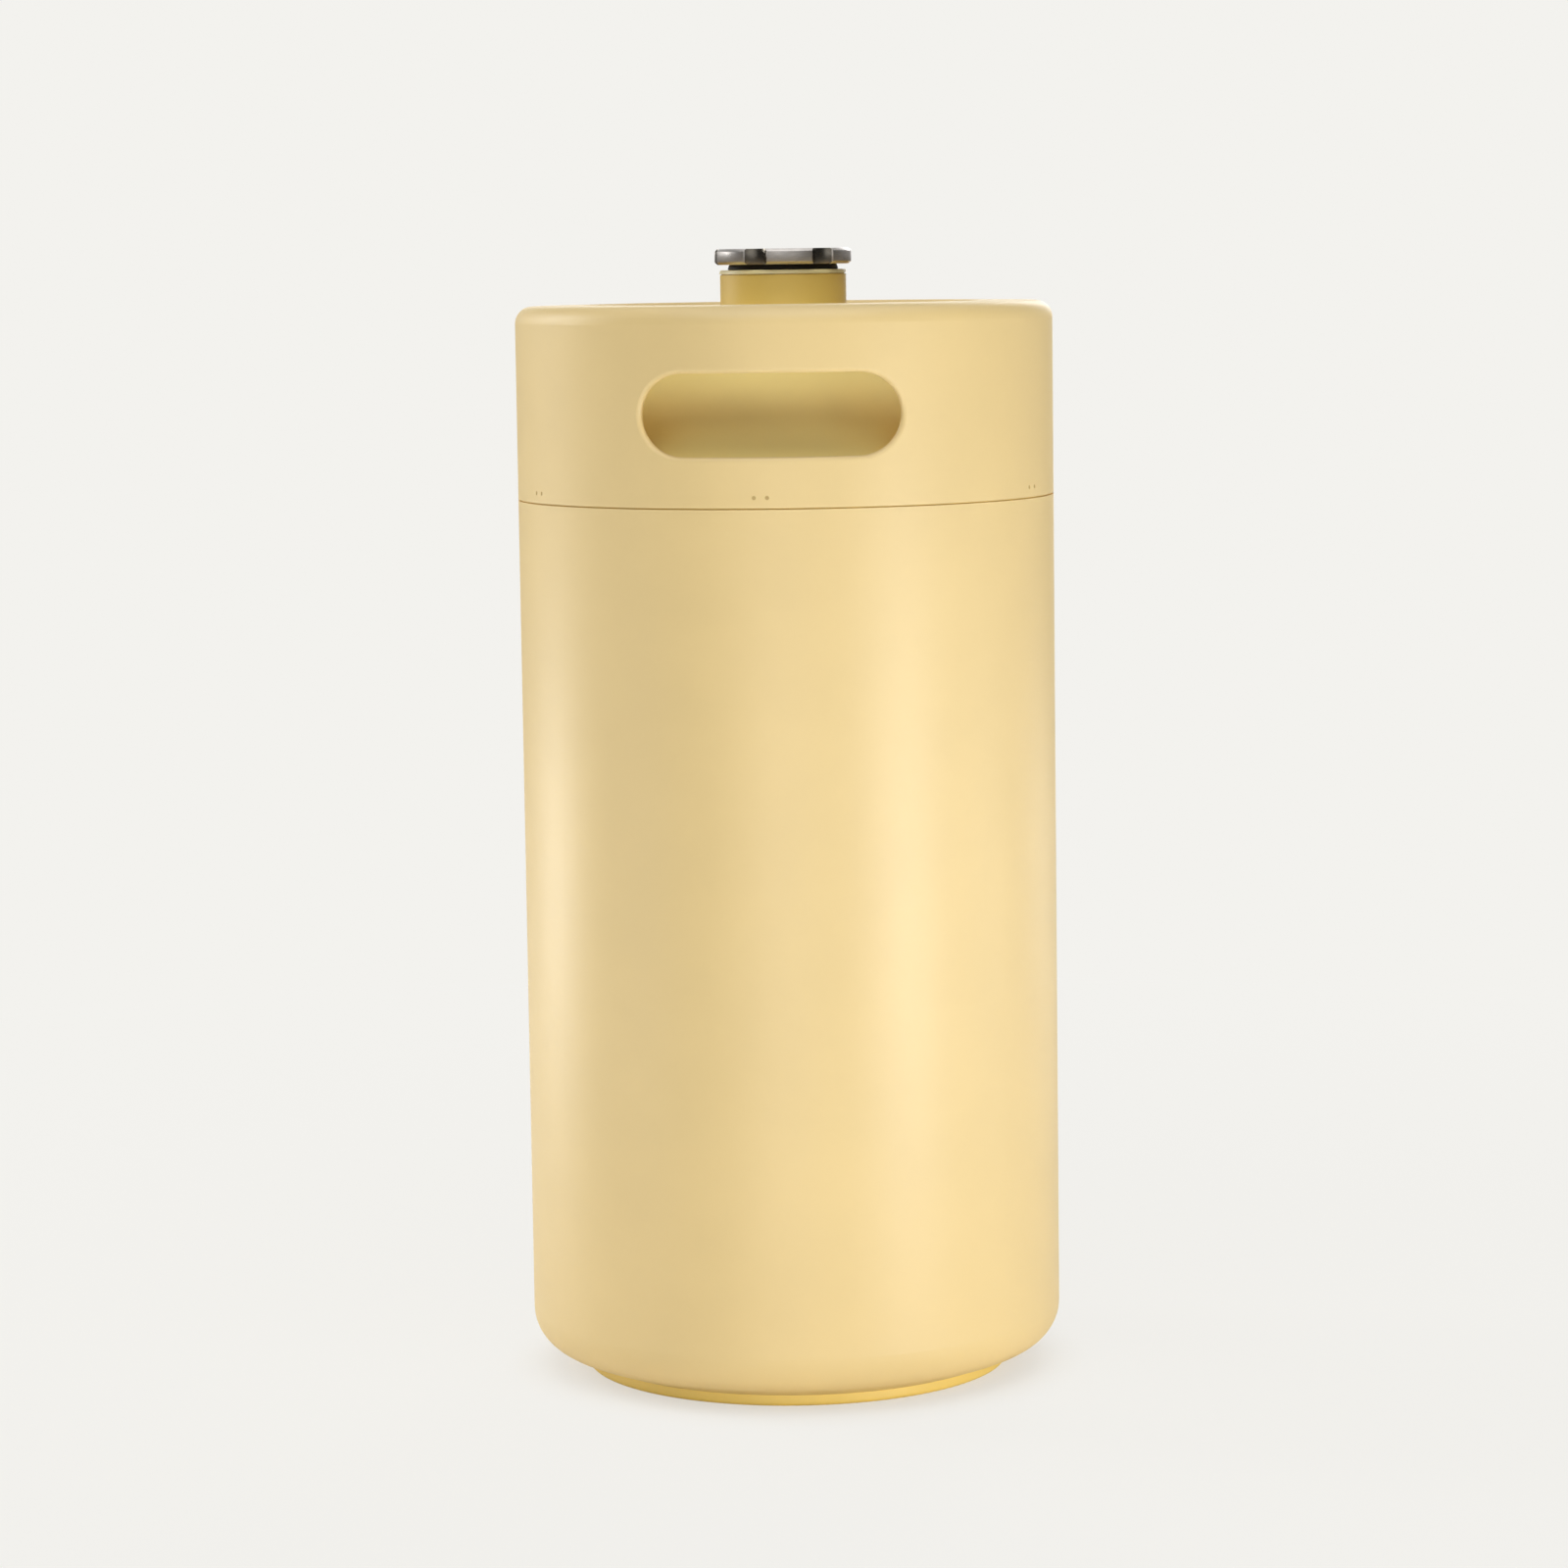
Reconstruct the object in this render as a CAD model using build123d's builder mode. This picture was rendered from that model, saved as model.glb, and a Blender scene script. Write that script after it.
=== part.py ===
"""Insulated mini keg: a double-walled steel vessel with a carrying collar and a lobed screw cap.

Millimetres, +Z up, origin at the middle of the foot's resting plane, one hand slot facing -Y.
The pressed pieces are drawn as one face of the sheet, which is then thickened. The screw threads
are left off: bore and stem are plain.
"""

import os
from math import degrees, hypot, radians, tan

from build123d import *

# Outer shell
barrel_diameter = 162.0
barrel_height = 266.0  # floor to the barrel's top edge, which is the seam under the collar
shell_sheet = 0.8  # barrel, shoulder, collar and base are all drawn from this sheet
corner_radius = 12.35  # barrel's lower corner
underside_slope = 20.0  # degrees, of the turned-in underside between corner and foot

# Foot and base
foot_diameter = 129.2
foot_rise = 3.35  # floor to the line where the barrel's underside meets the foot
foot_width = 4.0  # radial width of the rolled foot
foot_edge_radius = 1.2
foot_leg = 6.0  # how far the foot's outer leg runs up inside the barrel
base_recess = 6.0  # floor to the recessed base panel
base_bend_radius = 1.0
pocket_diameter = 56.0  # raised pocket round the vacuum port
pocket_depth = 3.0
port_diameter = 2.4

# Base cover
cover_clearance = 0.5  # between the cover's edge and the bend of the foot
cover_ring_diameter = 92.0  # pressed stiffening ring
cover_ring_width = 6.0
cover_ring_depth = 1.0

# Vacuum seal and getter
bead_diameter = 6.0
bead_height = 1.4
getter_diameter = 10.0
getter_height = 3.0
getter_chamfer = 0.4
getter_radius = 43.0  # how far the getter sits from the keg's axis
strap_sheet = 0.4
strap_width = 5.0
strap_foot = 4.0
strap_clearance = 0.3  # on each side of the getter

# Handle collar
seam_gap = 0.4
collar_height = 57.6
rim_corner_radius = 5.2
rim_opening_diameter = 120.0
rim_crown = 0.3  # how far the rim rises from its outer corner to its opening
hem_depth = 3.5  # turned-down edge of the rim's opening
hem_radius = 1.6

# Hand slots, one in front and one behind
slot_length = 74.6
slot_height = 24.0
slot_drop = 31.1  # collar's top corner down to the slot's middle
slot_lip_depth = 3.0  # how far the slot's edge is turned in, from the collar's outer face
slot_edge_radius = 1.2

# Spot welds that hold the collar to the shoulder's skirt, in pairs
weld_angles = (-61.0, -2.0, 67.0, 122.0, 180.0, 240.0)  # degrees round from the front slot
weld_pair_spacing = 3.8
weld_diameter = 1.2
weld_rise = 3.0  # above the collar's lower edge
weld_dimple = 0.15

# Shoulder
skirt_lap = 5.0  # of the shoulder's skirt inside the barrel
skirt_rise = 9.5  # collar's lower edge up to the corner where skirt and cone would meet
knuckle_radius = 12.0
apex_drop = 15.5  # mouth down to where the cone would meet the neck
neck_bend_radius = 4.0
neck_lap = 4.4  # of the shoulder's upturned edge round the neck sleeve

# Neck and mouth
mouth_rise = 10.1  # collar's top corner up to the mouth's sealing face
neck_diameter = 38.0
sleeve_wall = 1.2
sleeve_depth = 16.0  # mouth down to the sleeve's lower end
flange_diameter = 38.6
flange_height = 1.4
flange_taper = 0.4
flange_edge_radius = 0.35
bore_diameter = 28.0
bore_lead_in = 0.6
thread_wall = 2.0
ring_depth = 20.0  # mouth down to the mouth ring's lower end
ring_step_depth = 8.0  # mouth down to where the ring narrows

# Liner
vacuum_gap = 4.0  # between barrel and liner
dome_gap = 8.0  # straight up, between the cones of liner and shoulder
base_gap = 3.0  # between the pocket and the liner's base
liner_sheet = 0.6
liner_base_radius = 14.0
liner_base_rise = 20.0  # liner's lowest face up to the weld between its base and tube
liner_skirt = 12.0  # liner's upper corner down to the weld between its tube and shoulder
liner_knuckle_radius = 12.0
liner_bend_radius = 3.0
liner_lap = 4.0  # of the liner's upturned edge round the mouth ring

# Screw cap
cap_diameter = 41.4
cap_thickness = 4.7
cap_lobes = 6
cap_turn = 9.2  # degrees round from the front slot to a lobe's middle, cap screwed home
notch_radius = 4.9
notch_depth = 2.2
notch_corner_radius = 1.0
cap_top_chamfer = 1.2
cap_under_chamfer_width = 2.0
cap_under_chamfer_height = 1.2
cap_edge_radius = 0.35
stem_length = 12.0  # below the mouth's sealing face
stem_clearance = 0.2  # on the radius, in the bore
stem_wall = 2.4
stem_roof = 3.0  # solid metal below the cap's head, above the stem's hollow
stem_chamfer = 0.8

# Gasket
gasket_thickness = 1.6
gasket_top_diameter = 32.4
gasket_diameter = 33.5
gasket_clearance = 0.2  # on the radius, round the stem

# Worked out: radii
barrel_radius = barrel_diameter / 2
skirt_radius = barrel_radius - shell_sheet
foot_radius = foot_diameter / 2
pocket_radius = pocket_diameter / 2
cover_radius = foot_radius - foot_width - base_bend_radius - cover_clearance
liner_radius = skirt_radius - vacuum_gap
neck_radius = neck_diameter / 2
sleeve_bore_radius = neck_radius - sleeve_wall
bore_radius = bore_diameter / 2
spigot_radius = bore_radius + thread_wall
stem_radius = bore_radius - stem_clearance
cap_radius = cap_diameter / 2

# Worked out: heights
underside_drop = (barrel_radius - foot_radius) * tan(radians(underside_slope))
collar_foot = barrel_height + seam_gap
rim_height = collar_foot + collar_height
mouth_height = rim_height + mouth_rise
slot_middle = rim_height - slot_drop
weld_height = collar_foot + weld_rise
cone_foot = collar_foot + skirt_rise
apex_height = mouth_height - apex_drop
ring_foot = mouth_height - ring_depth
flange_foot = mouth_height - flange_height
pan_top = base_recess + shell_sheet
pocket_roof = base_recess + pocket_depth
cover_foot = base_recess - shell_sheet
liner_foot = pocket_roof + shell_sheet + base_gap
liner_base_top = liner_foot + liner_base_rise
liner_cone_foot = cone_foot - dome_gap
liner_tube_top = liner_cone_foot - liner_skirt
liner_apex = apex_height - dome_gap
cap_seat = mouth_height + gasket_thickness
cap_top = cap_seat + cap_thickness
stem_foot = mouth_height - stem_length


def facing(angle: float, distance: float) -> Plane:
    """Upright plane at a distance from the axis, facing out, an angle round from the front."""
    return Plane.XZ.rotated((0, 0, angle)).offset(distance)


def reach(edge: Edge) -> float:
    """How far the middle of an edge is from the keg's axis."""
    middle = edge @ 0.5
    return hypot(middle.X, middle.Y)


os.makedirs("parts", exist_ok=True)

# Barrel: a tube with a rounded lower corner, turned in to meet the foot
with BuildPart() as barrel_shell:
    with BuildSketch(Plane.XZ):
        with BuildLine():
            FilletPolyline(
                (barrel_radius, barrel_height),
                (barrel_radius, foot_rise + underside_drop),
                (foot_radius, foot_rise),
                radius=corner_radius,
            )
            offset(amount=shell_sheet, side=Side.RIGHT)
        make_face()
    revolve(axis=Axis.Z)
    with BuildSketch():
        Circle(foot_radius)
    extrude(amount=barrel_height, mode=Mode.SUBTRACT)
barrel_shell.part.label = "barrel_shell"
export_step(barrel_shell.part, "parts/barrel_shell.step")

# Base pan: the rolled foot, the recessed panel and the pocket with the vacuum port
with BuildPart() as base_pan:
    with BuildSketch(Plane.XZ):
        with BuildLine():
            FilletPolyline(
                (foot_radius, foot_rise + foot_leg),
                (foot_radius, 0),
                (foot_radius - foot_width, 0),
                (foot_radius - foot_width, base_recess),
                (pocket_radius, base_recess),
                (pocket_radius, pocket_roof),
                (0, pocket_roof),
                radius=[
                    foot_edge_radius,
                    foot_edge_radius,
                    base_bend_radius,
                    base_bend_radius,
                    base_bend_radius,
                ],
            )
            offset(amount=shell_sheet, side=Side.RIGHT)
        make_face()
    revolve(axis=Axis.Z)
    with BuildSketch(Plane.XY.offset(pocket_roof)):
        Circle(port_diameter / 2)
    extrude(amount=shell_sheet, mode=Mode.SUBTRACT)
base_pan.part.label = "base_pan"
export_step(base_pan.part, "parts/base_pan.step")

# Base cover: a pressed disc that closes the pocket, with one stiffening ring
ring_outer_radius = (cover_ring_diameter + cover_ring_width) / 2
ring_inner_radius = (cover_ring_diameter - cover_ring_width) / 2
with BuildPart() as base_cover:
    with BuildSketch(Plane.XZ):
        with BuildLine():
            FilletPolyline(
                (cover_radius, cover_foot),
                (ring_outer_radius, cover_foot),
                (ring_outer_radius - cover_ring_depth, cover_foot - cover_ring_depth),
                (ring_inner_radius + cover_ring_depth, cover_foot - cover_ring_depth),
                (ring_inner_radius, cover_foot),
                (0, cover_foot),
                radius=base_bend_radius,
            )
            offset(amount=shell_sheet, side=Side.RIGHT)
        make_face()
    revolve(axis=Axis.Z)
base_cover.part.label = "base_cover"
export_step(base_cover.part, "parts/base_cover.step")

# Vacuum seal: a drop of solder that fills the port and stands below it in the pocket
with BuildPart() as vacuum_seal_bead:
    with BuildSketch(Plane.XZ):
        with BuildLine():
            Polyline(
                (0, pocket_roof - bead_height),
                (0, pocket_roof + shell_sheet),
                (port_diameter / 2, pocket_roof + shell_sheet),
                (port_diameter / 2, pocket_roof),
                (bead_diameter / 2, pocket_roof),
            )
            EllipticalCenterArc(
                (0, pocket_roof), bead_diameter / 2, bead_height, start_angle=270, arc_size=90
            )
        make_face()
    revolve(axis=Axis.Z)
vacuum_seal_bead.part.label = "vacuum_seal_bead"
export_step(vacuum_seal_bead.part, "parts/vacuum_seal_bead.step")

# Getter: a pressed pill that keeps the vacuum, on top of the base pan
with BuildPart() as getter_capsule:
    with BuildSketch(Plane.XY.offset(pan_top)):
        with Locations((getter_radius, 0)):
            Circle(getter_diameter / 2)
    extrude(amount=getter_height)
    chamfer(getter_capsule.edges().group_by(Axis.Z)[-1], length=getter_chamfer)
getter_capsule.part.label = "getter_capsule"
export_step(getter_capsule.part, "parts/getter_capsule.step")

# Getter strap: a bridge of thin strip with a foot welded down on each side
bridge_half = getter_diameter / 2 + strap_clearance
strap_half = bridge_half + strap_sheet + strap_foot
with BuildPart() as getter_strap:
    with BuildSketch(Plane.XZ.offset(-strap_width / 2)):
        with BuildLine():
            Polyline(
                (getter_radius - strap_half, pan_top),
                (getter_radius - bridge_half, pan_top),
                (getter_radius - bridge_half, pan_top + getter_height),
                (getter_radius + bridge_half, pan_top + getter_height),
                (getter_radius + bridge_half, pan_top),
                (getter_radius + strap_half, pan_top),
            )
            offset(amount=strap_sheet, side=Side.LEFT, kind=Kind.INTERSECTION)
        make_face()
    extrude(amount=strap_width)
getter_strap.part.label = "getter_strap"
export_step(getter_strap.part, "parts/getter_strap.step")

# Liner base: a dished pan, welded under the liner tube
with BuildPart() as liner_base:
    with BuildSketch(Plane.XZ):
        with BuildLine():
            FilletPolyline(
                (liner_radius, liner_base_top),
                (liner_radius, liner_foot),
                (0, liner_foot),
                radius=liner_base_radius,
            )
            offset(amount=liner_sheet, side=Side.RIGHT)
        make_face()
    revolve(axis=Axis.Z)
liner_base.part.label = "liner_base"
export_step(liner_base.part, "parts/liner_base.step")

# Liner tube
with BuildPart() as liner_tube:
    with BuildSketch(Plane.XY.offset(liner_base_top)):
        Circle(liner_radius)
        Circle(liner_radius - liner_sheet, mode=Mode.SUBTRACT)
    extrude(amount=liner_tube_top - liner_base_top)
liner_tube.part.label = "liner_tube"
export_step(liner_tube.part, "parts/liner_tube.step")

# Liner shoulder: runs below the outer shoulder and turns up round the mouth ring's spigot
with BuildPart() as liner_shoulder:
    with BuildSketch(Plane.XZ):
        with BuildLine():
            FilletPolyline(
                (liner_radius, liner_tube_top),
                (liner_radius, liner_cone_foot),
                (spigot_radius + liner_sheet, liner_apex),
                (spigot_radius + liner_sheet, ring_foot + liner_lap),
                radius=[liner_knuckle_radius, liner_bend_radius],
            )
            offset(amount=liner_sheet, side=Side.LEFT)
        make_face()
    revolve(axis=Axis.Z)
liner_shoulder.part.label = "liner_shoulder"
export_step(liner_shoulder.part, "parts/liner_shoulder.step")

# Shoulder: a skirt lapped in barrel and collar, a knuckle, a cone and an upturned edge at the neck
with BuildPart() as shoulder_shell:
    with BuildSketch(Plane.XZ):
        with BuildLine():
            FilletPolyline(
                (skirt_radius, barrel_height - skirt_lap),
                (skirt_radius, cone_foot),
                (neck_radius + shell_sheet, apex_height),
                (neck_radius + shell_sheet, apex_height + neck_lap),
                radius=[knuckle_radius, neck_bend_radius],
            )
            offset(amount=shell_sheet, side=Side.LEFT)
        make_face()
    revolve(axis=Axis.Z)
shoulder_shell.part.label = "shoulder_shell"
export_step(shoulder_shell.part, "parts/shoulder_shell.step")

# Neck sleeve: the tube that stands out of the shoulder
with BuildPart() as neck_sleeve:
    with BuildSketch(Plane.XY.offset(mouth_height - sleeve_depth)):
        Circle(neck_radius)
        Circle(sleeve_bore_radius, mode=Mode.SUBTRACT)
    extrude(amount=sleeve_depth - flange_height)
neck_sleeve.part.label = "neck_sleeve"
export_step(neck_sleeve.part, "parts/neck_sleeve.step")

# Mouth ring: turned, with a tapered flange on the sleeve, the sealing face and the cap's bore
with BuildPart() as mouth_ring:
    with BuildSketch(Plane.XZ):
        with BuildLine():
            Polyline(
                (bore_radius, ring_foot),
                (spigot_radius, ring_foot),
                (spigot_radius, mouth_height - ring_step_depth),
                (sleeve_bore_radius, mouth_height - ring_step_depth),
                (sleeve_bore_radius, flange_foot),
                (flange_diameter / 2, flange_foot),
                (flange_diameter / 2 - flange_taper, mouth_height),
                (bore_radius, mouth_height),
                close=True,
            )
        make_face()
    revolve(axis=Axis.Z)
    sealing_face = mouth_ring.faces().sort_by(Axis.Z)[-1]
    flange_edge = sealing_face.outer_wire().edge()
    bore_edge = sealing_face.inner_wires()[0].edge()
    fillet(flange_edge, radius=flange_edge_radius)
    chamfer(bore_edge, length=bore_lead_in)
mouth_ring.part.label = "mouth_ring"
export_step(mouth_ring.part, "parts/mouth_ring.step")

# Turned-in edges of the hand slots, still filled, to be joined to the collar's wall
with BuildPart() as slot_lips:
    with BuildSketch(Plane.XZ):
        with Locations((0, slot_middle)):
            SlotOverall(slot_length + 2 * shell_sheet, slot_height + 2 * shell_sheet)
    extrude(amount=barrel_radius, both=True)
    with BuildSketch():
        Circle(barrel_radius)
        Circle(barrel_radius - slot_lip_depth, mode=Mode.SUBTRACT)
    extrude(amount=rim_height, mode=Mode.INTERSECT)

# Handle collar: a rolled-over rim with an opening, two hand slots, and holes for the welds
weld_turn = degrees(weld_pair_spacing / 2 / barrel_radius)
weld_planes = [
    facing(angle + turn, barrel_radius) for angle in weld_angles for turn in (-weld_turn, weld_turn)
]
with BuildPart() as handle_collar:
    with BuildSketch(Plane.XZ):
        with BuildLine():
            FilletPolyline(
                (barrel_radius, collar_foot),
                (barrel_radius, rim_height),
                (rim_opening_diameter / 2, rim_height + rim_crown),
                (rim_opening_diameter / 2, rim_height + rim_crown - hem_depth),
                radius=[rim_corner_radius, hem_radius],
            )
            offset(amount=shell_sheet, side=Side.LEFT)
        make_face()
    revolve(axis=Axis.Z)
    add(slot_lips.part)
    with BuildSketch(Plane.XZ):
        with Locations((0, slot_middle)):
            SlotOverall(slot_length, slot_height)
    extrude(amount=barrel_diameter, both=True, mode=Mode.SUBTRACT)
    slot_edges = handle_collar.edges(Select.LAST)
    fillet(slot_edges.group_by(reach, tol_digits=3)[-1], radius=slot_edge_radius)
    with BuildSketch(*weld_planes):
        with Locations((0, weld_height)):
            Circle(weld_diameter / 2)
    extrude(amount=-2 * shell_sheet, mode=Mode.SUBTRACT)
handle_collar.part.label = "handle_collar"
export_step(handle_collar.part, "parts/handle_collar.step")

# Spot welds: one nugget in each hole, sunk a little below the collar's face
with BuildPart() as spot_welds:
    with BuildSketch(*weld_planes):
        with Locations((0, weld_height)):
            Circle(weld_diameter / 2)
    extrude(amount=-2 * shell_sheet)
    with BuildSketch(Plane.XY.offset(collar_foot)):
        Circle(barrel_radius - weld_dimple)
        Circle(skirt_radius, mode=Mode.SUBTRACT)
    extrude(amount=collar_height, mode=Mode.INTERSECT)
spot_welds.part.label = "spot_welds"
export_step(spot_welds.part, "parts/spot_welds.step")

# Screw cap: a lobed head, turned to a chamfer above and below, on a hollow stem for the bore
notch_centre = cap_radius - notch_depth + notch_radius
cap_plane = Plane.XY.offset(cap_seat).rotated((0, 0, cap_turn - 90 + 180 / cap_lobes))
with BuildPart() as screw_cap:
    with BuildSketch(cap_plane) as cap_outline:
        Circle(cap_radius)
        with PolarLocations(notch_centre, cap_lobes):
            Circle(notch_radius, mode=Mode.SUBTRACT)
        fillet(cap_outline.vertices(), radius=notch_corner_radius)
    extrude(amount=cap_thickness)
    with BuildSketch(Plane.XZ):
        with BuildLine():
            FilletPolyline(
                (0, cap_seat),
                (cap_radius - cap_under_chamfer_width, cap_seat),
                (cap_radius, cap_seat + cap_under_chamfer_height),
                (cap_radius, cap_top - cap_top_chamfer),
                (cap_radius - cap_top_chamfer, cap_top),
                (0, cap_top),
                radius=cap_edge_radius,
            )
            Line((0, cap_top), (0, cap_seat))
        make_face()
    revolve(axis=Axis.Z, mode=Mode.INTERSECT)
    with BuildSketch(Plane.XY.offset(stem_foot)):
        Circle(stem_radius)
    extrude(amount=cap_seat - stem_foot)
    chamfer(screw_cap.edges().group_by(Axis.Z)[0], length=stem_chamfer)
    with BuildSketch(Plane.XY.offset(stem_foot)):
        Circle(stem_radius - stem_wall)
    extrude(amount=cap_seat - stem_roof - stem_foot, mode=Mode.SUBTRACT)
screw_cap.part.label = "screw_cap"
export_step(screw_cap.part, "parts/screw_cap.step")

# Gasket: a flat ring round the stem, pressed between the mouth and the cap's head
with BuildPart() as cap_gasket:
    with BuildSketch(Plane.XZ):
        with BuildLine():
            Polyline(
                (stem_radius + gasket_clearance, mouth_height),
                (gasket_diameter / 2, mouth_height),
                (gasket_top_diameter / 2, cap_seat),
                (stem_radius + gasket_clearance, cap_seat),
                close=True,
            )
        make_face()
    revolve(axis=Axis.Z)
cap_gasket.part.label = "cap_gasket"
export_step(cap_gasket.part, "parts/cap_gasket.step")
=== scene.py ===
"""Dresses an insulated mini keg: powder-coated shell, bare steel liner, threaded neck and lobed cap.

Sizes of pieces are millimetres and turn into metres when a mesh is made. +Z is up, and the front
hand slot faces -Y.
"""

import logging
from collections.abc import Callable
from dataclasses import dataclass
from enum import Enum
from math import ceil, cos, floor, hypot, pi, radians, sin, sqrt, tan
from typing import Protocol

import bmesh
import bpy
from mathutils import Matrix, Vector


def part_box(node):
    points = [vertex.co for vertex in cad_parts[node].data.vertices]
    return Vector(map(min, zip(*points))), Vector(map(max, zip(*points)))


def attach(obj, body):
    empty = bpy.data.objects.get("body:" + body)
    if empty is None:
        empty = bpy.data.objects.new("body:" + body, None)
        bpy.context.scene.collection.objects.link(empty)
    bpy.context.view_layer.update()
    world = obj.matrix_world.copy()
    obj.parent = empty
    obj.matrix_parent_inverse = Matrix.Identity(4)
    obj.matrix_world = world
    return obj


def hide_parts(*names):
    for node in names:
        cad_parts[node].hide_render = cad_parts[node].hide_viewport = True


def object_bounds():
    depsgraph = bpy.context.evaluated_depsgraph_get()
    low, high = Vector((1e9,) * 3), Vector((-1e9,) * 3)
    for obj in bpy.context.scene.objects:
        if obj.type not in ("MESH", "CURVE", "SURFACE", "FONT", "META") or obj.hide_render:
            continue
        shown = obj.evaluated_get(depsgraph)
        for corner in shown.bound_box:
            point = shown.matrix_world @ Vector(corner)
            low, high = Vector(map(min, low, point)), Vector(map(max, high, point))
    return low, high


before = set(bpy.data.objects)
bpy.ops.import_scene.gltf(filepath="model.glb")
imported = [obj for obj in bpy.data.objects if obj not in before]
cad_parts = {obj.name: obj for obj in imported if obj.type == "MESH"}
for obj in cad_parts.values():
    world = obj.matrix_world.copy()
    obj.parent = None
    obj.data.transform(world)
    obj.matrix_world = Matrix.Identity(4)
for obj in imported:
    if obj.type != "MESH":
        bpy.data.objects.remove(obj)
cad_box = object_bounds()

MM = 0.001  # one millimetre in metres
TINY = 1e-6  # millimetres, within which two radii are the same
SHARP_ANGLE = 35.0  # degrees, past which an edge stays sharp
NOISE_SPAN = (0.3, 0.7)  # where a fine noise mostly lies
PATCH_SPAN = (0.35, 0.65)  # where the patchy noise mostly lies
FULL_SPAN = (0.0, 1.0)
WHITE = (1.0, 1.0, 1.0)
log = logging.getLogger("mini_keg")

Colour = tuple[float, float, float]
Point = tuple[float, float]
Span = tuple[float, float]
Socket = bpy.types.NodeSocket
Value = Socket | float


class Body(Enum):
    """The rigid bodies of the keg."""

    KEG = "keg"
    SEAL = "seal"
    CAP = "cap"


class Slot(Enum):
    """Names of material slots; nothing in this script uses them."""

    GOLD_COAT = "gold_coat"
    CAP_STEEL = "cap_steel"
    GASKET_RUBBER = "gasket_rubber"


class Effect(Enum):
    """The shader effects that several finishes share, each by its node group's name."""

    POWDER_GRAIN = "powder_grain"
    TURNED_LINES = "turned_lines"


# Shader trees


class Wiring:
    """Adds and links the nodes of one shader tree."""

    def __init__(self, tree: bpy.types.NodeTree) -> None:
        """Takes the tree that the nodes go into."""
        self.tree = tree

    def add(self, kind: str, inputs: dict | None = None, **settings: object) -> bpy.types.Node:
        """Adds a node.

        Args:
            kind: The node's Blender class, such as ShaderNodeMath.
            inputs: Values or sockets for its inputs, by the input's name or number.
            settings: Values for the node's own properties, set before its inputs.

        Returns:
            The new node.
        """
        node = self.tree.nodes.new(kind)
        for name, value in settings.items():
            setattr(node, name, value)
        for key, value in (inputs or {}).items():
            if isinstance(value, Socket):
                self.tree.links.new(value, node.inputs[key])
            else:
                node.inputs[key].default_value = value
        return node

    def effect(self, effect: Effect, values: dict[str, float] | None = None) -> bpy.types.NodeOutputs:
        """Adds a shared effect.

        Args:
            effect: Which one.
            values: Its own values here, by input.

        Returns:
            Its outputs.
        """
        return self.add("ShaderNodeGroup", values, node_tree=effect_tree(effect)).outputs

    def math(self, operation: str, first: Value, second: Value = 0.0) -> Socket:
        """Adds a Math node.

        Args:
            operation: The operation's Blender name.
            first: The first value or socket.
            second: The second value or socket.

        Returns:
            The socket that holds the result.
        """
        return self.add("ShaderNodeMath", {0: first, 1: second}, operation=operation).outputs[0]

    def noise(self, vector: Socket, scale: Value, detail: float = 2.0) -> Socket:
        """Adds a Noise Texture node.

        Args:
            vector: The socket with the coordinates.
            scale: Features per unit of them.
            detail: How many octaves.

        Returns:
            The socket with its value.
        """
        inputs = {"Vector": vector, "Scale": scale, "Detail": detail}
        return self.add("ShaderNodeTexNoise", inputs).outputs["Fac"]

    def remap(self, value: Socket, source: Span, target: tuple[Value, Value]) -> Socket:
        """Maps a value from one range to another, clamped.

        Args:
            value: The socket to map.
            source: The range that it comes from.
            target: The range that it goes to.

        Returns:
            The socket with the result.
        """
        inputs = {0: value, 1: source[0], 2: source[1], 3: target[0], 4: target[1]}
        return self.add("ShaderNodeMapRange", inputs).outputs[0]

    def place(self) -> Socket:
        """The point's place on its own object, which rides with it, in metres."""
        return self.add("ShaderNodeTexCoord").outputs["Object"]


def new_group(effect: Effect, inputs: dict[str, float], outputs: tuple[str, ...]) -> bpy.types.NodeTree:
    """Makes an empty shader node group with number sockets.

    Args:
        effect: The effect that it holds.
        inputs: The default of each input, by name.
        outputs: The names of the outputs.

    Returns:
        The group's tree.
    """
    tree = bpy.data.node_groups.new(effect.value, "ShaderNodeTree")
    for title, value in inputs.items():
        socket = tree.interface.new_socket(title, in_out="INPUT", socket_type="NodeSocketFloat")
        socket.default_value = value
    for title in outputs:
        tree.interface.new_socket(title, in_out="OUTPUT", socket_type="NodeSocketFloat")
    return tree


def build_powder_grain() -> bpy.types.NodeTree:
    """Makes the group for the skin of a baked powder coat.

    Returns:
        A group whose Height holds the fine bumps and the long ripple, whose Tone is a patchy value
        about 0.5 and whose Rough is a finer one.
    """
    inputs = {"Grain": 1400.0, "Ripple": 160.0, "Patch": 22.0, "Ripple Share": 0.5}
    tree = new_group(Effect.POWDER_GRAIN, inputs, ("Height", "Tone", "Rough"))
    wiring = Wiring(tree)
    given = wiring.add("NodeGroupInput").outputs
    place = wiring.place()
    grain = wiring.noise(place, given["Grain"])
    ripple = wiring.noise(place, given["Ripple"])
    patch = wiring.noise(place, given["Patch"], detail=4.0)
    rippled = wiring.math("MULTIPLY", ripple, given["Ripple Share"])
    height = wiring.math("ADD", grain, rippled)
    wiring.add("NodeGroupOutput", {"Height": height, "Tone": patch, "Rough": grain})
    return tree


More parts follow.
